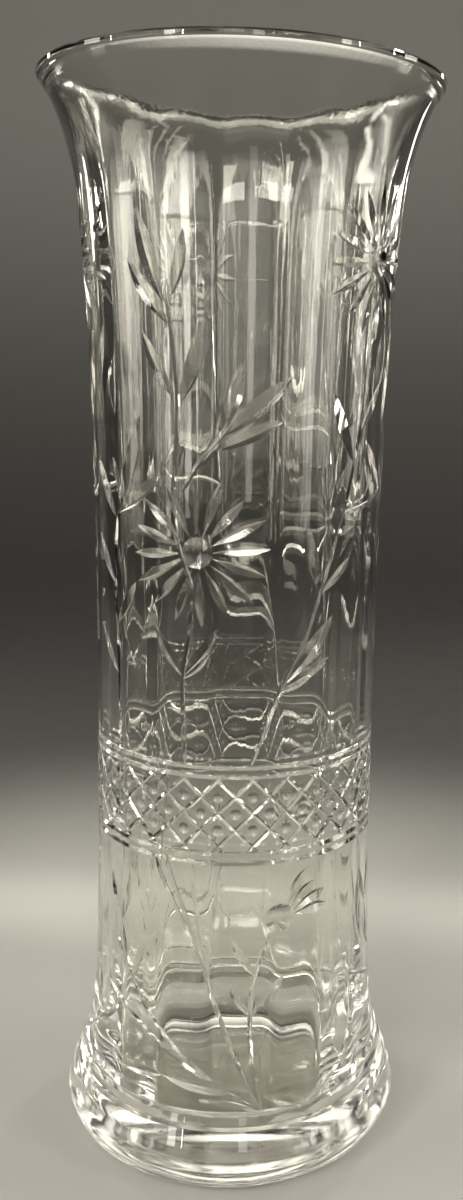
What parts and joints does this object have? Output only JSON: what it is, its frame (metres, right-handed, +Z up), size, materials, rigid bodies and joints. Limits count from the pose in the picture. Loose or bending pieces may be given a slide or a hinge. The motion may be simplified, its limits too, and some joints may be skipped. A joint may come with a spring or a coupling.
{
  "type": "vase",
  "caption": "Tall straight-sided cut crystal vase with a flared lip, panelled inside, mitre-cut rings and a thick spreading foot.",
  "frame": {"origin": "centre of the face that the vase stands on", "axes": "+Z up along the vase's axis, -Y towards the side with the low daisy"},
  "size_m": [0.1098, 0.1098, 0.305],
  "materials": {
    "lead_crystal": "clear, fire-polished lead crystal with bright mitre cuts"
  },
  "bodies": {
    "root": {"vase_body": "lead_crystal"}
  },
  "joints": []
}
